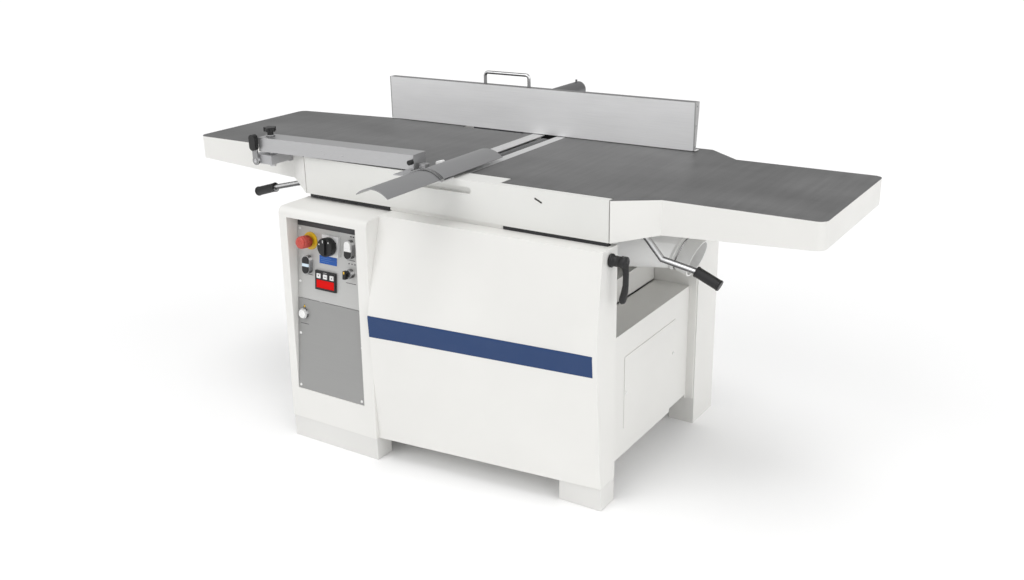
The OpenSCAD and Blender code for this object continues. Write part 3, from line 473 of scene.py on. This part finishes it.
def between(a, b):
    """Placement at a with Z pointing at b, and the distance between them."""
    run = Vector(b) - Vector(a)
    return facing(*a, run, (0, 1, 0)), run.length


def circle(r, count=32, x=0.0, y=0.0):
    """Outline of a circle as points."""
    angles = (2 * math.pi * i / count for i in range(count))
    return [(x + r * math.cos(a), y + r * math.sin(a)) for a in angles]


class Form:
    """One piece, put together from prisms, turned shapes and bent tubes."""

    def __init__(self, name, *paints):
        self.name = name
        self.paints = paints
        self.bm = bmesh.new()
        self.place = Matrix.Scale(MM, 4)
        self.paint = 0

    def at(self, place, paint=0):
        self.place = place
        self.paint = paint
        return self

    def _faces(self, points, faces):
        verts = [self.bm.verts.new(self.place @ Vector(p)) for p in points]
        for face in faces:
            made = self.bm.faces.new([verts[i] for i in face])
            made.material_index = self.paint
            made.smooth = True
        return self

    def prism(self, outline, low, high, shrink=1.0):
        """An outline raised from low to high. Shrink is the size of its top."""
        n = len(outline)
        points = [(x, y, low) for x, y in outline] + [(x * shrink, y * shrink, high) for x, y in outline]
        sides = [(i, (i + 1) % n, n + (i + 1) % n, n + i) for i in range(n)]
        return self._faces(points, [tuple(reversed(range(n))), tuple(range(n, 2 * n))] + sides)

    def box(self, x0, y0, x1, y1, low, high):
        return self.prism([(x0, y0), (x1, y0), (x1, y1), (x0, y1)], low, high)

    def turned(self, profile, count=40):
        """A profile of radius and height turned about Z. Ends at radius 0 are closed."""
        n = len(profile)
        points, faces = [], []
        for i in range(count):
            a = 2 * math.pi * i / count
            points += [(r * math.cos(a), r * math.sin(a), h) for r, h in profile]
        for i in range(count):
            a, b = i * n, (i + 1) % count * n
            faces += [(a + k, b + k, b + k + 1, a + k + 1) for k in range(n - 1)]
            if profile[0][0] > 0 and profile[-1][0] > 0:
                faces.append((a + n - 1, b + n - 1, b, a))
        return self._faces(points, faces)

    def bent(self, path, radii, count=20):
        """A round bar along a path, with a radius at every point and rounded ends."""
        path = [Vector(p) for p in path]
        first, last = path[0] - path[1], path[-1] - path[-2]
        first, last = first.normalized(), last.normalized()
        start, end = radii[0], radii[-1]
        dome = (1.5, 1.1, 0.6)  # rings that round an end, in radians
        rings = [(path[0] + first * start * math.sin(a), start * math.cos(a), -first) for a in dome]
        for i, p in enumerate(path):
            before = p - path[i - 1] if i else path[1] - p
            after = path[i + 1] - p if i + 1 < len(path) else before
            rings.append((p, radii[i], (before.normalized() + after.normalized()).normalized()))
        rings += [(path[-1] + last * end * math.sin(a), end * math.cos(a), last) for a in reversed(dome)]
        side = rings[0][2].orthogonal().normalized()
        points, faces = [], []
        angles = [2 * math.pi * i / count for i in range(count)]
        for middle, r, along in rings:
            side = (side - along * side.dot(along)).normalized()
            other = along.cross(side)
            points += [middle + (side * math.cos(a) + other * math.sin(a)) * r for a in angles]
        for k in range(len(rings) - 1):
            low, high = k * count, (k + 1) * count
            for i in range(count):
                after = (i + 1) % count
                faces.append((low + i, low + after, high + after, high + i))
        faces += [tuple(reversed(range(count))), tuple(range(high, high + count))]
        return self._faces(points, faces)

    def screw(self, r, h):
        """A round head with a hexagonal socket, standing on the placement."""
        socket = [(r * 0.52, h), (r * 0.5, h * 0.5), (0, h * 0.5)]
        return self.turned([(0, 0), (r, 0), (r, h * 0.8), (r * 0.85, h)] + socket, 24)

    def done(self, body, slot, edge=0.3, stands_for=()):
        """Makes the object. It rides on body and may replace CAD nodes. The slot argument is not used."""
        bmesh.ops.remove_doubles(self.bm, verts=self.bm.verts[:], dist=1e-6)
        bmesh.ops.recalc_face_normals(self.bm, faces=self.bm.faces[:])
        mesh = bpy.data.meshes.new(self.name)
        self.bm.to_mesh(mesh)
        self.bm.free()
        for paint in self.paints:
            mesh.materials.append(paint.material)
        made = add_object(self.name, mesh)
        if edge:
            soften(made, edge, 2)
        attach(made, body)
        if stands_for:
            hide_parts(*stands_for)
        return made


def repaint(name, *choices):
    """Gives areas of a CAD node their own paint. Each choice is a paint and a test on a face's middle."""
    mesh = nodes[name].data
    for index, (paint, test) in enumerate(choices, 1):
        mesh.materials.append(paint.material)
        for face in mesh.polygons:
            middle = face.center / MM
            if test(middle.x, middle.y + Y_SHIFT, middle.z):
                face.material_index = index


def over_panel(test):
    """A test in the control plates' own X, height and distance from the plate."""
    return lambda x, y, z: test(x, z, (plate_y(z) - y) * math.cos(TILT))


def near(at, r):
    """Everything within a radius of a spot on the plates."""
    return over_panel(lambda x, z, out: math.hypot(x - at[0], z - at[1]) < r)


def within(at, half_x, half_z, low=-1, high=99):
    """Everything in a rectangle on the plates, between two distances out from them."""

    def test(x, z, out):
        return abs(x - at[0]) < half_x and abs(z - at[1]) < half_z and low < out < high

    return over_panel(test)


# Middles of the controls, as X and Z on the plates.
STOP, SWITCH, LEFT_PAIR, RIGHT_PAIR = (-465, 677), (-378, 673), (-473, 600), (-300, 674)
SELECTOR, DISPLAY, RESET, LABEL = (-300, 598), (-400, 557), (-494, 436), (-393, 624)

repaint(
    "panel_fittings",
    (switch_plate, within(SWITCH, 36, 36)),
    (yellow, near(STOP, 30)),
    (blue_label, within(LABEL, 38, 14.5, -1, 1.5)),
    (clear_lens, within(LEFT_PAIR, 13.5, 6.5, 12)),
    (white_plastic, within(RIGHT_PAIR, 13.5, 6.5)),
)
repaint("display_unit", (red_window, within((DISPLAY[0], DISPLAY[1] - 11), 36, 13, 5.2, 6.6)))
repaint("infeed_lever", (black, lambda x, y, z: x > 757))
repaint("outfeed_lever", (black, lambda x, y, z: x < -774))
repaint("cam_lever", (chrome, lambda x, y, z: z < 932 and y > -371))
repaint(
    "guard_arm",
    (chrome, lambda x, y, z: -406 < y < -390 and x > -75 and z > 928),
    (steel, lambda x, y, z: z < 920),
)
repaint("head_castings", (white, lambda x, y, z: y < -296))
# the front wall's inside face near-black: painted shade
repaint("base_frame", (interior_painted_shade, lambda x, y, z: -299.5 < y < -293 and z > 120))
repaint(
    "fence_plate",
    # top strip of the fence: painted shade on the bevel
    (fence_top_painted_shade, lambda x, y, z: z > 1070),
    (cap_metal, lambda x, y, z: y > 299 and z < 1070),
)


def blue_stripe():
    """Vinyl stripe cut out of the front panel's own faces and lifted off them by a third of a millimetre."""
    bm = bmesh.new()
    bm.from_mesh(nodes["front_panel"].data)
    bm.normal_update()
    bmesh.ops.delete(bm, geom=[f for f in bm.faces if f.normal.y > -0.5], context="FACES")
    cuts = (
        ((-0.199, 0, 0.426), (0.0108, 0, -1)),
        ((-0.199, 0, 0.496), (-0.0034, 0, 1)),
        ((-0.2025, 0, 0), (-1, 0, 0)),
        ((0.54, 0, 0), (1, 0, 0)),
    )
    for point, out in cuts:
        geom = bm.verts[:] + bm.edges[:] + bm.faces[:]
        bmesh.ops.bisect_plane(bm, geom=geom, plane_co=point, plane_no=out, clear_outer=True)
    for vert in bm.verts:
        vert.co.y -= 0.3 * MM
    mesh = bpy.data.meshes.new("blue_stripe")
    bm.to_mesh(mesh)
    bm.free()
    mesh.materials.append(stripe_blue.material)
    made = add_object("blue_stripe", mesh)
    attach(made, "cabinet")


blue_stripe()


def stop_button():
    """Emergency stop: black neck, ribbed rim and domed top."""
    form = Form("stop_button_cap", red, black)
    neck = [(0, 0.5), (10.9, 0.5), (10.9, 10.1), (15.5, 10.3), (15.5, 13), (0, 13)]
    form.at(on_panel(*STOP), 1).turned(neck)
    ribs, steps = 26, 156
    rim = []
    for i in range(steps):
        a = 2 * math.pi * i / steps
        r = 19.0 + 0.75 * math.cos(a * ribs)
        rim.append((r * math.cos(a), r * math.sin(a)))
    form.at(on_panel(*STOP), 0).prism(rim, 13, 46)
    form.turned([(0, 45.9), (18.2, 46), (18.0, 49.5), (16.4, 51.6), (12, 52.2), (0, 52.4)], 64)
    form.turned([(6.5, 52.0), (8.0, 53.0), (9.5, 52.1)], 40)
    form.done("stop_button", "red_plastic", 0, ["emergency_stop"])


def rotary_switch():
    """Main switch: round knob with a grip bar and a plain white pointer."""
    form = Form("main_switch_knob", black, white_plastic)
    form.at(on_panel(*SWITCH), 0)
    shaft = [(0, 0.5), (8.9, 0.5), (8.9, 9.5)]
    form.turned(shaft + [(25, 9.8), (29.5, 13), (29.5, 34), (28, 36), (24, 36.5), (0, 36.5)], 64)
    bar = [(-7, -23), (-4.5, -27), (4.5, -27), (7, -23), (7, 23), (4.5, 27), (-4.5, 27), (-7, 23)]
    form.prism(bar, 36, 43, 0.94)
    form.at(on_panel(*SWITCH), 1).box(-1.1, 15, 1.1, 24, 42.9, 43.3)
    form.prism(circle(2.2, 16, -20, 8), 36.3, 36.8).prism(circle(2.2, 16, 17, 17), 36.3, 36.8)
    form.done("rotary_switch", "black_plastic", 0.7, ["main_switch"])


def panel_print():
    """Plain marks printed on the plates, the small indicator and warning shapes, and a dark band along the
    upper plate's top edge that is painted shade of the gap above it.
    """
    form = Form("panel_marks", ink, white_plastic, yellow, label_mark)
    lines = ((LEFT_PAIR, -34, 17), (RESET, -35, 17), (RIGHT_PAIR, -36, 17), (SELECTOR, -33, 20))
    for (x, z), drop, half in lines:
        form.at(on_panel(x, z), 0).box(-half, drop, half, drop + 1.7, 0, 0.25)
    for x in (-4, 6):
        form.at(on_panel(RIGHT_PAIR[0], RIGHT_PAIR[1])).box(x, 37, x + 6.5, 41, 0, 0.25)
    for x in (-12, 0, 12):
        form.at(on_panel(SELECTOR[0] + 4, SELECTOR[1])).prism(circle(2.3, 12, x, 30), 0, 0.25)
    form.at(on_panel(SWITCH[0] + 22, SWITCH[1] + 12)).prism(circle(3.4, 20), 9, 9.4)
    for row, width in enumerate((44, 56, 34)):
        form.at(on_panel(*LABEL), 3).box(-30, 5 - row * 6, -30 + width, 6.4 - row * 6, 0.8, 1.0)
    form.at(on_panel(DISPLAY[0], DISPLAY[1] + 26.5), 1).box(-8, -0.5, 8, 0.5, 7, 7.3)
    # dark band along the upper plate's top edge: painted shade of the gap above the plate
    form.at(on_panel(-382.5, 727), 0).box(-137, -6.5, 137, 13, 0, 0.6)
    form.at(on_panel(RESET[0], RESET[1] + 23), 0).prism([(-6.6, -4.4), (6.6, -4.4), (0, 7)], 0, 0.25)
    form.at(on_panel(RESET[0], RESET[1] + 23), 2).prism([(-4.9, -3.4), (4.9, -3.4), (0, 5)], 0.1, 0.45)
    form.done("cabinet", "black_plastic", 0)


def selector_mark():
    """Pointer on the selector."""
    form = Form("selector_mark", yellow).at(on_panel(*SELECTOR))
    form.box(-2.6, 4, 2.6, 11.5, 33.9, 34.4).done("selector", "black_plastic", 0)


def key_marks():
    """A down arrow, a bar and an up arrow on the three display keys."""
    marks = {
        "left": [(-3, 3), (3, 3), (0, -3)],
        "middle": [(-3.4, -0.9), (3.4, -0.9), (3.4, 0.9), (-3.4, 0.9)],
        "right": [(-3, -3), (3, -3), (0, 3)],
    }
    for (side, outline), x in zip(marks.items(), (-27, 0, 27)):
        form = Form(side + "_key_mark", ink).at(on_panel(DISPLAY[0] + x, DISPLAY[1] + 14.5))
        form.prism(outline, 8.25, 8.5).done(side + "_key", "black_plastic", 0)


def table_clamp():
    """Clamp lever: stepped hub with a bent grip hanging from it."""
    form = Form("table_clamp_handle", black)
    form.at(facing(553.5, -341, 757, (1, 0, 0)))
    washer = [(0, 0), (17.5, 0), (19, 1.2), (19, 6.5), (17.5, 8)]
    hub = [(15, 8.2), (15, 33), (16.8, 34), (16.8, 48.5), (15.2, 50), (0, 50)]
    form.turned(washer + hub, 48)
    form.turned([(6, 49.5), (8.2, 51), (10.4, 49.5)], 40)
    form.at(Matrix.Translation(spot(0, 0, 0)) @ Matrix.Scale(MM, 4))
    path = [
        (597, -341, 750),
        (600, -341.6, 732),
        (601, -342.3, 712),
        (601, -343, 694),
        (599, -343.8, 676),
        (595.5, -344.5, 660),
        (593, -345, 650),
    ]
    form.bent(path, [10.5, 9, 8.2, 8.4, 9.6, 10.6, 10.2])
    form.done("table_clamp", "black_plastic", 0, ["table_clamp_lever"])


def grip_rings():
    """Two raised rings on each table lever's grip."""
    grips = {
        "right": ((758, -240, 730), (828, -240, 700)),
        "left": ((-775, -240, 771), (-862, -240, 745)),
    }
    for side, ends in grips.items():
        place, length = between(*ends)
        form = Form(side + "_grip_rings", black)
        for h in (1, length - 6):
            form.at(place).turned([(15.0, h), (16.1, h + 0.6), (16.1, h + 3.6), (15.0, h + 4.2)], 40)
        form.done(side + "_lever", "black_plastic", 0)


def guard_details():
    """Knob nut, end cap, bracket bolts and cam washer."""
    form = Form("guard_knob_nut", chrome)
    nut = [(11.7, 0), (14.6, 0), (14.6, 5.2), (14.0, 6), (11.7, 6)]
    form.at(facing(-686.5, -329, 970, (0, 0, 1))).turned(nut, 6)
    form.done("guard_support", "chrome", 0.2)
    form = Form("guard_stop_cap", white_plastic)
    outline = [(-13, -7), (-10, -10), (10, -10), (13, -7), (13, 7), (10, 10), (-10, 10), (-13, 7)]
    form.at(facing(-56, -266, 934, (-0.25, 0, 0.97), (0, 1, 0)))
    form.prism(outline, 0, 10).prism(outline, 9.9, 13.5, 0.8)
    form.done("guard", "white_plastic", 1.2)
    form = Form("guard_bracket_bolts", steel)
    for z in (888, 905):
        form.at(facing(-760, -274, z, (0, -1, 0))).screw(5.5, 5)
    form.done("outfeed_side", "steel", 0)
    form = Form("cam_pivot_washer", steel)
    washer = [(0, 0), (6, 0), (6, 1.4), (4.4, 2.4), (0, 2.6)]
    form.at(facing(-722, -371, 894, (0, -1, 0))).turned(washer, 28)
    form.done("guard_cam", "steel", 0)


def fence_details():
    """Cap screws, sliding foot, bracket bolts and the bar's end cap."""
    form = Form("fence_cap_screws", chrome)
    for x, out in ((509, 1), (-691, -1)):
        for y, z in ((301, 935), (304, 1000), (308, 1060)):
            form.at(facing(x, y, z, (out, 0, 0))).screw(2.6, 0.9)
    form.done("fence", "chrome", 0)
    form = Form("fence_foot", white_plastic)
    form.at(facing(505, 310, 922.3, (0, 0, 1), (0, 1, 0))).box(-9, -13, 9, 10, 0, 2.2)
    form.done("fence", "white_plastic", 0.4)
    form = Form("fence_bracket_bolts", steel)
    for x in (-505, -455, -405):
        form.at(facing(x, 396, 889, (0, 1, 0))).screw(7, 6)
    form.done("outfeed_side", "steel", 0)
    form = Form("bar_end_cap", black)
    disc = [(0, -0.4), (24, -0.4), (24, 0.4), (0, 0.4)]
    form.at(facing(-195, 814.5, 985, (0, 1, 0))).turned(disc, 40)
    form.done("fence_carriage", "black_plastic", 0)


def painted_shade_strip_piece():
    """Black rubber strip on the rear head casting that closes the gap behind the cutterblock; its black is
    painted shade where the view would reach the bright floor.
    """
    form = Form("rear_painted_shade_strip", black_rubber)
    form.box(-50, 280 - Y_SHIFT, 26, 319 - Y_SHIFT, 894.7, 896.7)
    form.box(-78, 317 - Y_SHIFT, 40, 320 - Y_SHIFT, 894.7, 920)
    form.done("cabinet", "black_rubber", 0.4)


def cabinet_details():
    """Rear cover screws, cable gland, spout ring and the cutterblock's gib screws."""
    form = Form("rear_cover_screws", steel)
    for x in (-445, 0, 445):
        for z in (98, 430, 765):
            form.at(facing(x, 425, z, (0, 1, 0))).screw(5.5, 3.4)
    form.done("cabinet", "steel", 0)
    form = Form("cable_gland", black)
    form.at(facing(330, 425, 140, (0, 1, 0)))
    form.turned([(7.5, 0), (17, 0), (17, 7), (15.5, 8), (7.5, 8)], 6)
    form.turned([(7, 8), (14, 8), (14, 17), (11, 23), (7, 24)], 36)
    form.done("cabinet", "black_plastic", 0.3)
    form = Form("spout_ring", chrome)
    spout_drop = math.tan(math.radians(20))
    place, _ = between((560, 100, 664), (660, 100, 664 - 100 * spout_drop))
    form.at(place).turned([(60.1, 13), (61.6, 13.6), (61.6, 17.4), (60.1, 18)], 64)
    form.done("cabinet", "chrome", 0)
    form = Form("knife_gib_screws", steel)
    knives, screws, pitch, radius = 4, 8, 66, 56.6
    for knife in range(knives):
        a = math.radians(45 + knife * 90)
        out = Vector((math.sin(a), 0, math.cos(a)))
        side = Vector((math.cos(a), 0, -math.sin(a)))
        for i in range(screws):
            middle = Vector((-12, -231 + i * pitch, 860)) + out * radius - side * 4.5
            form.at(facing(*middle, out, (0, 1, 0))).screw(3.2, 1.4)
    form.done("cutter", "steel", 0)


for make in (
    stop_button,
    rotary_switch,
    panel_print,
    selector_mark,
    key_marks,
    table_clamp,
    grip_rings,
    guard_details,
    fence_details,
    painted_shade_strip_piece,
    cabinet_details,
):
    make()
